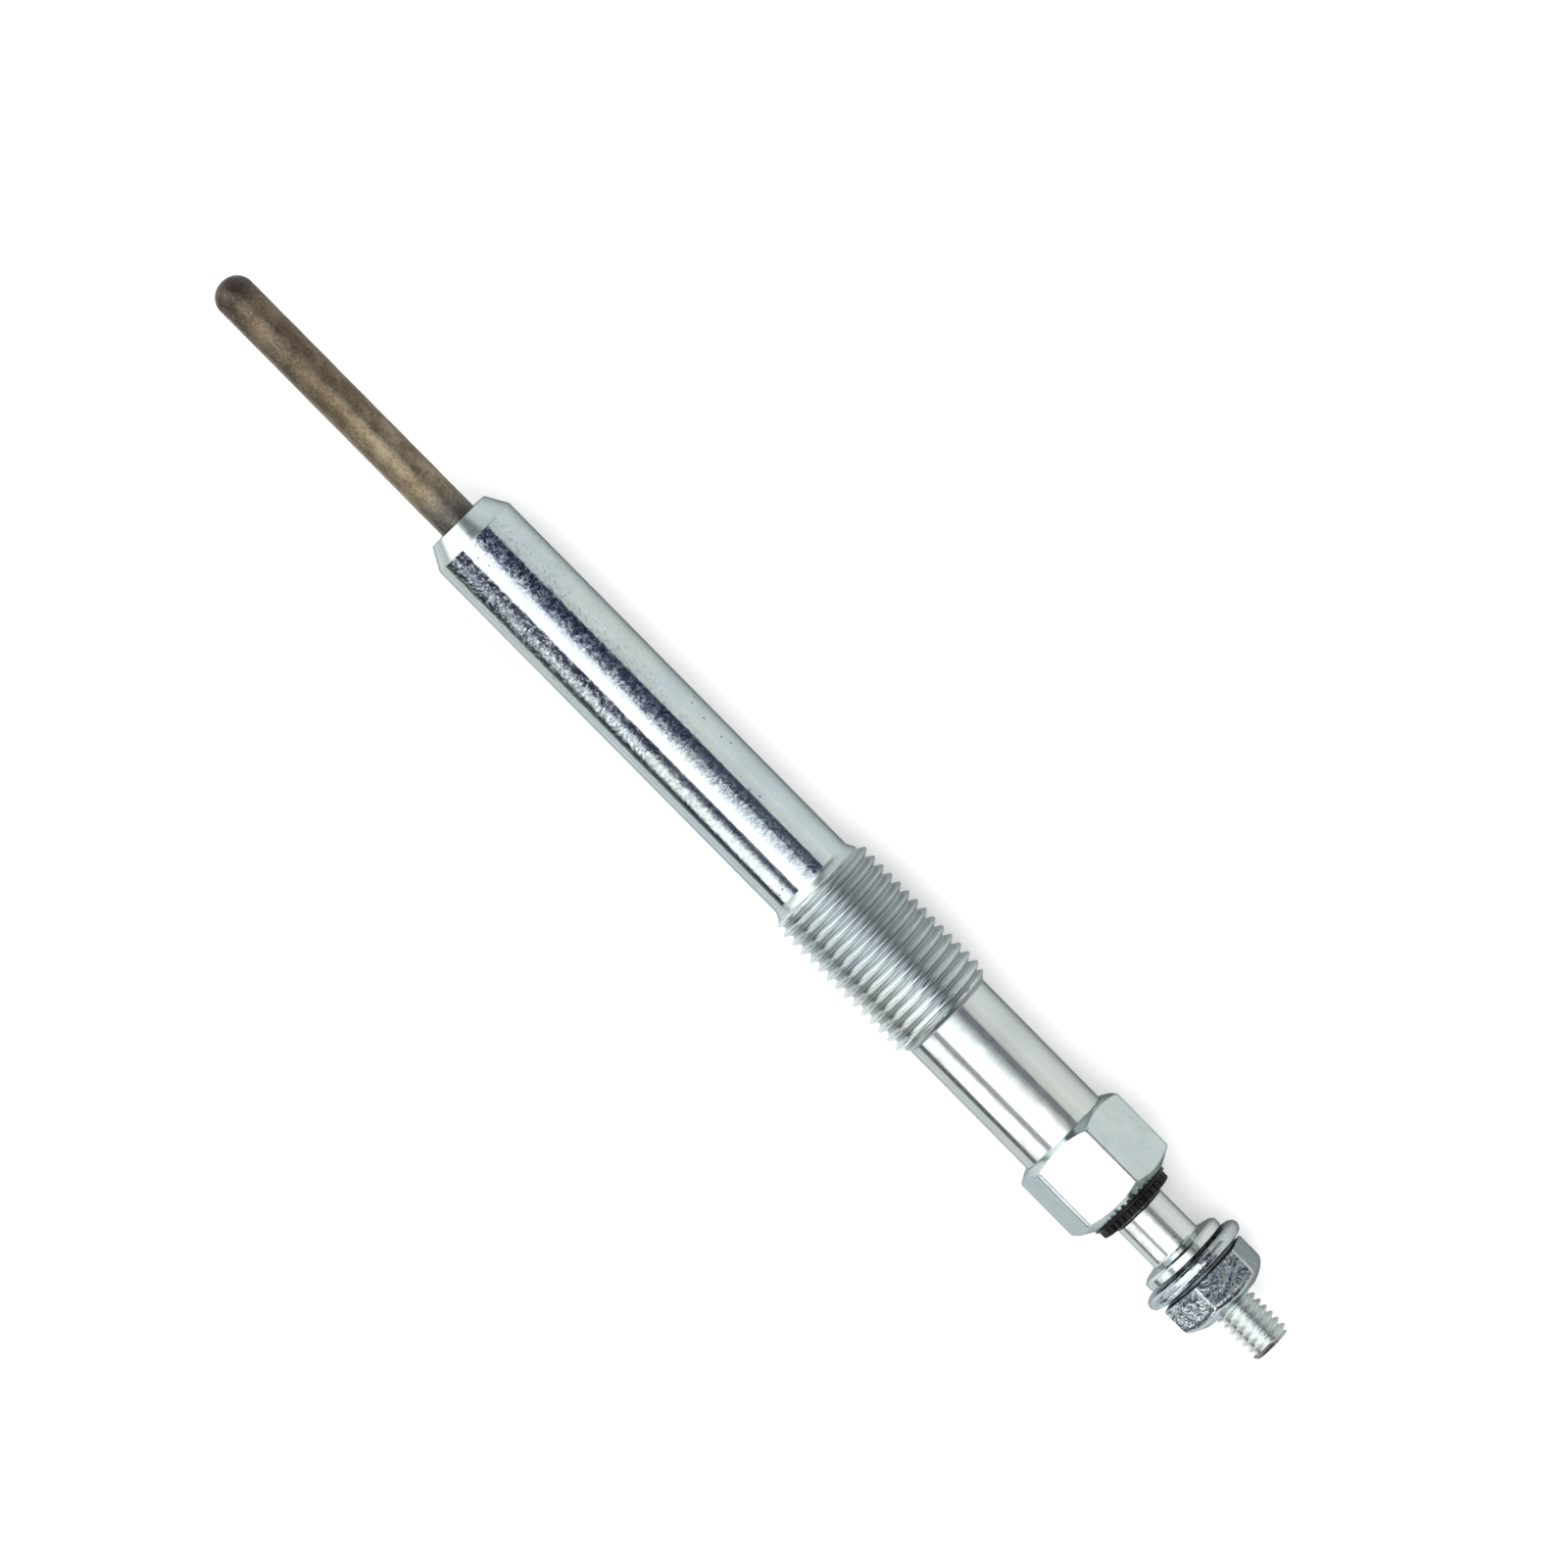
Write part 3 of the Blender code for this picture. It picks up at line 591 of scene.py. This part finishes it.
front = rounded(
    [
        (27.35, 1.90, 0.0),
        (27.35, 2.95, 0.10),
        (29.2, 4.0, 0.12),
        (68.05, 4.0, 0.0),
    ],
    6,
)
f_mats = [0] * (len(front) - 1)
for k, (x, r) in enumerate(front[:-1]):
    f_mats[k] = 1 if front[k][0] > 29.2 else 0
first, ring_a = house.run(front, f_mats)
ring_b = house.thread(ring_a, 68.05, 84.1, PITCH, CREST_AT - 0.5 * PITCH, ROWS, body_thread, 2)
for k, mat in enumerate(house.mats):  # the flare in front of the first turn is duller than the barrel
    if mat == 2 and max(house.points[c][0] for c in house.faces[k]) < (68.95 - HALF) * MM:
        house.mats[k] = 6

SLOPE = math.tan(30 * DEG)


def hex_profile(angle):
    r = six_radius(angle, HEX_FLAT, HEX_AF, HEX_CORNER)
    return [
        (84.1, 4.15, 0.0),
        (97.57, 4.15, 0.08),
        (97.60, 4.45, 0.05),
        (97.60 + (r - 4.45) * SLOPE, r, 0.20),
        (105.08 - (r - 3.97) * SLOPE, r, 0.22),
        (105.08, 3.97, 0.06),
        (105.08, 2.9, 0.0),
    ]


cols = columns(house.angles, hex_profile, 5)
mats = []
for k in range(len(cols) - 1):
    x = float(np.mean(cols[k][0]))
    mats.append(3 if x < 97.2 else 4)
_, ring_c = house.run(cols[1:], mats, after=ring_b)
_, ring_d = house.run([(100.0, 2.9), (100.0, 2.6), (48.1, 2.6), (47.6, 1.85), (27.6, 1.85)], 5, after=ring_c)
house.join(ring_d, first, 5)
housing = house.build("housing_turned", [ZINC_SEAT, ZINC_BARREL, ZINC_THREAD, ZINC_SHANK, ZINC_HEX, BORE, ZINC_FLARE])
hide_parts("housing")


# ================================================================ glow tube
tube = Surface(even(128))
R_OUT, R_IN = 1.78, 1.38


def dome(radius, length, x0, count):
    out = []
    for i in range(1, count):
        t = i / (count - 1) * math.pi / 2
        out.append((x0 + length * (1.0 - math.cos(t) ** 1.15), radius * math.sin(t) ** 0.92))
    return out


outer = dome(R_OUT, 1.55, 0.0, 22)
outer += [(x, R_OUT) for x in np.linspace(1.9, 27.3, 90)]
outer += [(46.75, R_OUT), (47.0, R_OUT - 0.12)]
tube_rings = []
rng = np.random.default_rng(7)
phases = rng.uniform(0, 2 * math.pi, 12)
waves = rng.uniform(0.25, 1.1, 12)
for x, r in outer:
    # a swaged tube is never quite even: a few hundredths of a millimetre along and round it
    soft = smooth((x - 0.4) / 2.0) * (1.0 if x < 27.3 else 0.0)
    wob = np.zeros(tube.n)
    for k in range(12):
        wob += np.cos(tube.angles * (k % 3 + 1) + phases[k] + waves[k] * x * 2.2)
    tube_rings.append(tube.ring(x, r - 0.010 * soft + 0.0022 * soft * wob))
for a, b in zip(tube_rings, tube_rings[1:]):
    tube.join(a, b, 0)
tube.pole(tube_rings[0], 0.0, 0, rear=False)
inner = dome(R_IN, 1.24, 0.62, 10)
inner_rings = [tube.ring(x, r) for x, r in [(47.0, R_IN)] + inner[::-1]]
tube.join(tube_rings[-1], inner_rings[0], 0)
for a, b in zip(inner_rings, inner_rings[1:]):
    tube.join(a, b, 0)
tube.pole(inner_rings[-1], 0.62, 0, rear=True)
sheath = tube.build("glow_tube", [OXIDE], sharp=45.0)
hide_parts("sheath_tube")


# ================================================================ insulating bush
RIBS = 30
per = 10
bush = Surface(even(RIBS * per, 0.5 * 2 * math.pi / (RIBS * per)))


def rib(angle):
    """1 on a rib, 0 in a groove."""
    u = (angle / (2 * math.pi) * RIBS) % 1.0
    u = min(u, 1.0 - u) * 2.0
    return smooth((u - 0.28) / 0.34)


def bush_profile(angle):
    k = rib(angle)
    rim = 3.34 + 0.28 * k
    return [
        (101.4, 2.02, 0.0),
        (101.4, 2.80, 0.10),
        (105.12, 2.85, 0.0),
        (105.12, 3.85, 0.06),
        (105.42, 3.85, 0.09),
        (105.47, rim - 0.04, 0.02),
        (105.51, rim, 0.03),
        (106.13, rim, 0.12),
        (106.21 + 0.015 * k, rim - 0.35, 0.06),
        (106.27, 2.62, 0.08),
        (106.32, 2.49, 0.04),
        (106.40, 2.47, 0.04),
        (106.40, 2.02, 0.0),
    ]


cols = columns(bush.angles, bush_profile, 3, 0.02)
first, last = bush.run(cols, 0)
bush.join(last, first, 0)
bush_piece = bush.build("ribbed_bush", [MOULDING], sharp=50.0)
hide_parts("insulating_bush")


# ================================================================ terminal sleeve
sleeve = Surface(even(160))
profile = rounded(
    [
        (106.43, 2.02, 0.0),
        (106.43, 2.42, 0.06),
        (110.66, 2.42, 0.18),
        (111.00, 3.66, 0.22),
        (111.22, 3.93, 0.10),
        (111.88, 3.93, 0.07),
        (111.88, 2.02, 0.0),
    ],
    6,
    0.03,
)
first, last = sleeve.run(profile, 0)
sleeve.join(last, first, 0)
sleeve_piece = sleeve.build("terminal_collar", [ZINC_SLEEVE])
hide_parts("terminal_sleeve")


# ================================================================ centre rod and stud thread
rod = Surface(even(96))
STUD_PITCH, STUD_MAJOR, STUD_MINOR = 0.7, 1.948, 1.53
STUD_CREST = 117.90 + STUD_PITCH * 14.0 / 360.0


def stud_thread(x, angle):
    u = (x - STUD_CREST - STUD_PITCH * angle / (2 * math.pi)) / STUD_PITCH + 0.5
    depth = smooth((x - 115.2) / 0.6)
    r = STUD_MAJOR - (STUD_MAJOR - STUD_MINOR) * depth * (1.0 - thread_form(u))
    return min(r, 1.66 + (122.0 - x) * 0.70)


rod_profile = [
    (29.6, 0.6),
    (31.8, 0.6),
    (32.0, 1.0),
    (47.9, 1.0),
    (48.4, 1.7),
    (98.8, 1.7),
    (99.0, 1.948),
    (115.0, 1.948),
]
first, last = rod.run(rod_profile, 0)
rod.pole(first, 29.6, 0, rear=False)
STUD_ROWS = [0.0, 0.06, 0.11, 0.25, 0.39, 0.43, 0.465, 0.5, 0.535, 0.57, 0.61, 0.75, 0.89, 0.94]
last = rod.thread(last, 115.0, 121.97, STUD_PITCH, STUD_CREST - 0.5 * STUD_PITCH, STUD_ROWS, stud_thread, 0)
_, last = rod.run([(122.0, 1.64), (122.0, 1.55), (121.985, 0.5)], 0, after=last)
rod.pole(last, 121.98, 0, rear=True)
# painted shade: the end's faces past x 121.5 mm on the -Y half take the dark material
for k, face in enumerate(rod.faces):
    if min(rod.points[c][0] for c in face) > (121.50 - HALF) * MM and min(rod.points[c][1] for c in face) < 0.0005:
        rod.mats[k] = 1
rod_piece = rod.build("terminal_rod", [ZINC_STUD, STUD_END_SHADE])
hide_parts("centre_rod")


# ================================================================ flange nut
NUT_FLAT = 90.0 - 27.5
NUT_AF, NUT_CORNER = 7.9, 0.28
nut = Surface(six_sided(NUT_FLAT, NUT_AF, NUT_CORNER))
RIM = 5.036


def nut_profile(angle):
    r = six_radius(angle, NUT_FLAT, NUT_AF, NUT_CORNER)
    return [
        (112.22, 2.02, 0.0),
        (112.22, 2.55, 0.05),
        (112.13, 2.75, 0.05),
        (112.13, 4.15, 0.12),
        (112.20, 4.60, 0.20),
        (112.40, 4.90, 0.20),
        (112.82, RIM + 0.02, 0.60),
        (113.26, 4.80, 0.25),
        (113.42, 4.30, 0.10),
        (113.46, 3.55, 0.03),
        (113.74, 3.55, 0.03),
        (113.79, r, 0.06),
        (117.15 - (r - 2.95) * math.tan(27 * DEG), r, 0.75),
        (117.15, 2.95, 0.12),
        (117.15, 2.45, 0.05),
        (116.8, 2.02, 0.0),
    ]


cols = columns(nut.angles, nut_profile, 4, 0.03)
# the groove between flange and hex and the flange's front face take the dark groove material, painted shade
nut_mats = []
for a, b in zip(cols, cols[1:]):
    middle, reach = float(np.mean((a[0], b[0]))), float(np.min((a[1], b[1])))
    nut_mats.append(1 if 113.40 < middle < 113.80 and reach < 3.9 else 2 if middle < 112.16 and reach < 3.9 else 0)
first, last = nut.run(cols, nut_mats)
nut.join(last, first, 0)
for k, mat in enumerate(nut.mats):  # the flange's front face takes the groove's painted shade, and is duller, on its far side only
    if mat == 2:
        nut.mats[k] = 1 if min(nut.points[c][1] for c in nut.faces[k]) > -0.0012 else 0
nut_piece = nut.build("terminal_nut", [ZINC_NUT, NUT_GROOVE_SHADE])
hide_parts("flange_nut")

for piece, slot in (
    (housing, "housing"),
    (sheath, "sheath_tube"),
    (bush_piece, "insulating_bush"),
    (sleeve_piece, "terminal_sleeve"),
    (rod_piece, "centre_rod"),
    (nut_piece, "flange_nut"),
):
    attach(piece, "root")


# ================================================================ pieces inside, carried over from the solids
inside = {
    "heating_coil": plain_bits("heater_wire", (0.36, 0.33, 0.30), (0.50, 0.46, 0.41), (0.30, 0.45), 1.0, 0.15, 2e-6),
    "control_coil": plain_bits("control_wire", (0.50, 0.46, 0.40), (0.66, 0.62, 0.54), (0.28, 0.40), 1.0, 0.15, 2e-6),
    "magnesia_fill": plain_bits("magnesia", (0.76, 0.75, 0.72), (0.90, 0.89, 0.86), (0.85, 0.95), 0.0, 0.08, 8e-6),
    "sheath_seal": plain_bits("seal_rubber", (0.16, 0.15, 0.14), (0.24, 0.22, 0.21), (0.65, 0.80), 0.0, 0.2, 4e-6),
    "o_ring": plain_bits("o_ring_rubber", (0.015, 0.015, 0.015), (0.03, 0.03, 0.03), (0.55, 0.70), 0.0, 0.2, 3e-6),
}
for node, mat in inside.items():
    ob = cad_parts[node]
    ob.data.materials.clear()
    ob.data.materials.append(mat)


# ================================================================ stage: floor, light and camera
def floor_material():
    m, n, shader = new_material("floor_white")
    # painted for the plug's reflections only: they see the floor greyer, with painted shade dark beyond its near side
    # and a painted lighter strip just beside it, while the camera sees it plain
    ray = n.add("ShaderNodeLightPath")
    near = n.band(n.separate(n.coords())[1], -0.075, -0.045, 1.0, 0.0)
    seen = n.mix(near, rgb(0.385, 0.388, 0.388), rgb(0.055, 0.06, 0.065))
    beside = n.math("MULTIPLY", n.band(n.separate(n.coords())[1], -0.021, -0.011), n.band(n.separate(n.coords())[1], -0.003, 0.0, 1.0, 0.0))
    seen = n.mix(beside, seen, rgb(0.60, 0.60, 0.60))
    n.put(shader.inputs["Base Color"], n.mix(ray.outputs["Is Glossy Ray"], rgb(0.90, 0.90, 0.90), seen))
    shader.inputs["Roughness"].default_value = 0.9
    shader.inputs["Specular IOR Level"].default_value = 0.1
    return m


bpy.ops.mesh.primitive_circle_add(vertices=96, radius=4.0, fill_type="NGON", location=(0.0, 0.0, 0.0))
floor = bpy.context.object
floor.name = "floor"
floor.data.materials.append(floor_material())

world = bpy.data.worlds.new("studio")
bpy.context.scene.world = world
world.use_nodes = True
tree = world.node_tree
for node in list(tree.nodes):
    tree.nodes.remove(node)
w = Nodes(tree)
direction = w.add("ShaderNodeTexCoord").outputs["Generated"]
dx, dy, dz = w.separate(direction)
# degrees round the plug's axis, from straight up (0) down towards -Y (+90)
around = w.math("MULTIPLY", w.math("ARCTAN2", w.math("MULTIPLY", dy, -1.0), dz), 180.0 / math.pi)
PEAK = 2.6


def glow(*c):
    """A radiance, as a colour for the background's strength."""
    return rgb(*[v / PEAK for v in c])


def ramp(tree_nodes, value, stops):
    node = tree_nodes.add("ShaderNodeValToRGB")
    tree_nodes.put(node.inputs["Fac"], value)
    elements = node.color_ramp.elements
    elements[0].position, elements[0].color = stops[0][0], stops[0][1]
    elements[1].position, elements[1].color = stops[-1][0], stops[-1][1]
    for position, colour in stops[1:-1]:
        elements.new(position).color = colour
    return node.outputs["Color"]


def span(start, stop, soft=2.0):
    """1 between two angles, soft at both."""
    return w.math("MULTIPLY", w.band(around, w.math("SUBTRACT", start, soft), w.math("ADD", start, soft)),
                  w.band(around, w.math("SUBTRACT", stop, soft), w.math("ADD", stop, soft), 1.0, 0.0))


# the soft boxes' edges run at a slant, so their reflections get wider along the plug
slow = w.band(dx, 0.028, 0.080)
tip_end = w.math("MULTIPLY", w.band(dx, 0.010, 0.021, 1.0, 0.0), -12.0)
turns = w.math("MULTIPLY", w.band(dx, 0.057, 0.064), w.band(dx, 0.0700, 0.0735, 1.0, 0.0))  # where the thread looks
nut_end = w.band(dx, 0.094, 0.097)
edge_start = w.math("MULTIPLY_ADD", w.band(dx, 0.038, 0.060), -30.0, w.math("MULTIPLY_ADD", w.band(dx, 0.060, 0.074), -11.0, -13.0))
stud_end = w.math("MULTIPLY", w.band(dx, 0.1025, 0.1040), w.band(dx, 0.13, 0.20, 1.0, 0.0))
back = w.math("MULTIPLY_ADD", w.band(dx, 0.076, 0.086), 6.0, w.math("MULTIPLY", stud_end, 10.0))
aside = w.math("MAXIMUM", w.math("MULTIPLY", w.band(dx, -0.10, -0.05, 1.0, 0.0), 1.4), w.band(dx, 0.13, 0.20))  # the thread's flanks look there
edge_start = w.math("ADD", back, w.math("MULTIPLY_ADD", turns, -7.0, w.math("MULTIPLY_ADD", aside, -10.0, edge_start)))
mid_front = w.math("MULTIPLY", w.band(dx, 0.024, 0.029), w.band(dx, 0.040, 0.048, 1.0, 0.0))
edge_start = w.math("MULTIPLY_ADD", mid_front, 5.0, edge_start)
edge_stop = w.math("MULTIPLY_ADD", w.band(dx, 0.040, 0.085), -30.0, w.math("MULTIPLY_ADD", turns, -21.0, w.math("MULTIPLY_ADD", mid_front, 4.0, 5.0)))
edge_stop = w.math("MULTIPLY_ADD", aside, -10.0, w.math("ADD", edge_stop, back))
soft_edge = w.band(around, w.math("ADD", edge_start, tip_end), w.math("ADD", edge_stop, tip_end), kind="LINEAR")
lit = ramp(w, soft_edge, [
    (0.0, glow(0.040, 0.055, 0.100)), (0.22, glow(0.13, 0.14, 0.225)), (0.45, glow(0.38, 0.385, 0.52)),
    (0.68, glow(0.82, 0.82, 0.95)), (0.88, glow(1.6, 1.6, 1.65)), (1.0, glow(2.2, 2.2, 2.2)),
])
paler = ramp(w, soft_edge, [
    (0.0, glow(0.09, 0.10, 0.105)), (0.22, glow(0.20, 0.215, 0.225)), (0.45, glow(0.52, 0.54, 0.57)),
    (0.68, glow(0.95, 0.97, 1.0)), (0.88, glow(1.7, 1.7, 1.7)), (1.0, glow(2.2, 2.2, 2.2)),
])
lit = w.mix(w.math("MULTIPLY", w.band(dx, 0.058, 0.072), w.math("SUBTRACT", 1.0, nut_end)), lit, paler)
pale = w.mix(w.band(around, -92.0, -62.0), glow(1.0, 1.0, 1.0), glow(0.86, 0.86, 0.84))
pale = w.mix(w.band(dx, -0.04, 0.004), glow(0.30, 0.30, 0.30), pale)
grey = w.add("ShaderNodeRGBToBW")
w.put(grey.inputs[0], lit)
lit = w.mix(nut_end, lit, grey.outputs[0])
pale_stop = w.math("MULTIPLY_ADD", stud_end, 12.0, -57.0)
lit = w.mix(w.band(around, pale_stop, w.math("ADD", pale_stop, 3.0), 1.0, 0.0), lit, pale)
lit = w.mix(w.band(around, 30.0, 50.0), lit, w.mix(w.band(dx, 0.029, 0.050), w.mix(w.band(dx, -0.04, 0.004), glow(0.85, 0.85, 0.83), glow(0.24, 0.26, 0.36)), glow(2.2, 2.2, 2.2)))
lit = w.mix(w.math("MULTIPLY", w.band(around, 14.0, 40.0), w.band(dx, 0.098, 0.103)), lit, glow(1.1, 1.1, 1.1))
stripe = w.mix(w.band(dx, 0.058, 0.070), glow(0.03, 0.03, 0.08), glow(0.62, 0.62, 0.67))
stripe = w.mix(w.band(dx, -0.04, 0.004), glow(0.60, 0.60, 0.58), stripe)
shown = w.math("SUBTRACT", 1.0, w.math("MINIMUM", aside, 1.0))
lit = w.mix(w.math("MULTIPLY", shown, span(26.5, w.math("MULTIPLY_ADD", slow, -15.5, 56.5))), lit, stripe)
far = w.math("MULTIPLY_ADD", w.band(dx, 0.1025, 0.104), -22.0, w.math("MULTIPLY_ADD", nut_end, 8.0, w.math("MULTIPLY_ADD", slow, 11.0, 72.0)))
far = w.math("MULTIPLY_ADD", w.band(dx, 0.024, 0.036, 1.0, 0.0), -9.0, far)
lit = w.mix(span(far, 99.0), lit, w.mix(w.band(dx, -0.04, 0.004), glow(1.0, 1.0, 0.97), w.mix(w.band(dx, 0.066, 0.074), glow(0.03, 0.035, 0.05), glow(0.12, 0.12, 0.13))))
lit = w.mix(w.band(around, 100.0, 104.0), lit, glow(0.9, 0.9, 0.9))
# towards the tip
front_end = ramp(w, w.band(around, -180.0, 180.0, kind="LINEAR"), [
    (0.0, glow(0.85, 0.86, 0.85)), (0.350, glow(0.80, 0.82, 0.81)), (0.361, glow(0.21, 0.21, 0.21)),
    (0.488, glow(0.22, 0.22, 0.22)), (0.506, glow(2.2, 2.2, 2.2)), (0.74, glow(2.2, 2.2, 2.2)), (1.0, glow(0.9, 0.9, 0.9)),
])
lit = w.mix(w.band(dx, -0.72, -0.50, 1.0, 0.0), lit, front_end)
# towards the stud
rear_end = ramp(w, w.band(around, -180.0, 180.0, kind="LINEAR"), [
    (0.0, glow(0.7, 0.7, 0.7)), (0.33, glow(0.6, 0.62, 0.62)), (0.36, glow(0.10, 0.10, 0.12)),
    (0.435, glow(0.10, 0.10, 0.12)), (0.46, glow(1.9, 1.9, 1.9)), (0.72, glow(1.9, 1.9, 1.9)), (1.0, glow(0.7, 0.7, 0.7)),
])
lit = w.mix(w.math("MULTIPLY", w.band(dx, 0.18, 0.22), w.band(dx, 0.30, 0.36, 1.0, 0.0)),
            lit, w.mix(w.band(around, -20.0, -12.0), lit, glow(0.24, 0.24, 0.26)))
lit = w.mix(w.band(dx, 0.50, 0.62), lit, rear_end)
lit = w.mix(w.band(dx, 0.78, 0.88), lit, glow(0.06, 0.06, 0.07))
reflected = w.add("ShaderNodeBackground")
w.put(reflected.inputs["Color"], lit)
reflected.inputs["Strength"].default_value = PEAK * 0.77
# what lights the floor and dull surfaces: an even room and one large lamp overhead, a little to the near side
overhead = w.add("ShaderNodeVectorMath", operation="DOT_PRODUCT")
w.put(overhead.inputs[0], direction)
overhead.inputs[1].default_value = (0.0, -0.26, 0.966)
room = w.add("ShaderNodeBackground")
w.put(room.inputs["Color"], w.mix(w.band(overhead.outputs["Value"], 0.75, 0.98), glow(1.80, 1.80, 1.80), glow(2.6, 2.6, 2.6)))
room.inputs["Strength"].default_value = PEAK
plain = w.add("ShaderNodeBackground")
plain.inputs["Color"].default_value = rgb(1.0, 1.0, 1.0)
plain.inputs["Strength"].default_value = 1.0
path = w.add("ShaderNodeLightPath")
dull = w.add("ShaderNodeMixShader")
w.put(dull.inputs[0], path.outputs["Is Diffuse Ray"])
w.put(dull.inputs[1], reflected.outputs[0])
w.put(dull.inputs[2], room.outputs[0])
pick = w.add("ShaderNodeMixShader")
w.put(pick.inputs[0], path.outputs["Is Camera Ray"])
w.put(pick.inputs[1], dull.outputs[0])
w.put(pick.inputs[2], plain.outputs[0])
out = w.add("ShaderNodeOutputWorld")
w.put(out.inputs["Surface"], pick.outputs[0])

view = bpy.context.scene.view_settings
view.view_transform = "Standard"
view.look = "None"

# the photograph looks straight down on the plug, leaning 14 degrees to +Y, with the plug running down to the right
LEAN, TILT, ROLL = 14.0 * DEG, 2.9 * DEG, 45.34 * DEG
PIXELS_PER_MM = 12.52
DISTANCE = 1100.0
toward = Vector((-math.sin(TILT), math.sin(LEAN) * math.cos(TILT), math.cos(LEAN) * math.cos(TILT)))
along = (Vector((1, 0, 0)) - toward * toward.x).normalized()
across = toward.cross(along)
right = along * math.cos(ROLL) + across * math.sin(ROLL)
up = -along * math.sin(ROLL) + across * math.cos(ROLL)
target = Vector((0.0, 0.0, AXIS_Z)) + (along * 0.24 + across * 3.83) * MM
cam_data = bpy.data.cameras.new("photo_camera")
cam_data.sensor_width = 36.0
cam_data.sensor_fit = "HORIZONTAL"
cam_data.lens = 36.0 * DISTANCE / (1600.0 / PIXELS_PER_MM)
cam_data.clip_start = 0.01
cam_data.clip_end = 50.0
cam = bpy.data.objects.new("photo_camera", cam_data)
bpy.context.scene.collection.objects.link(cam)
cam.matrix_world = Matrix(
    (
        (right.x, up.x, toward.x, target.x + toward.x * DISTANCE * MM),
        (right.y, up.y, toward.y, target.y + toward.y * DISTANCE * MM),
        (right.z, up.z, toward.z, target.z + toward.z * DISTANCE * MM),
        (0, 0, 0, 1),
    )
)
bpy.context.scene.camera = cam
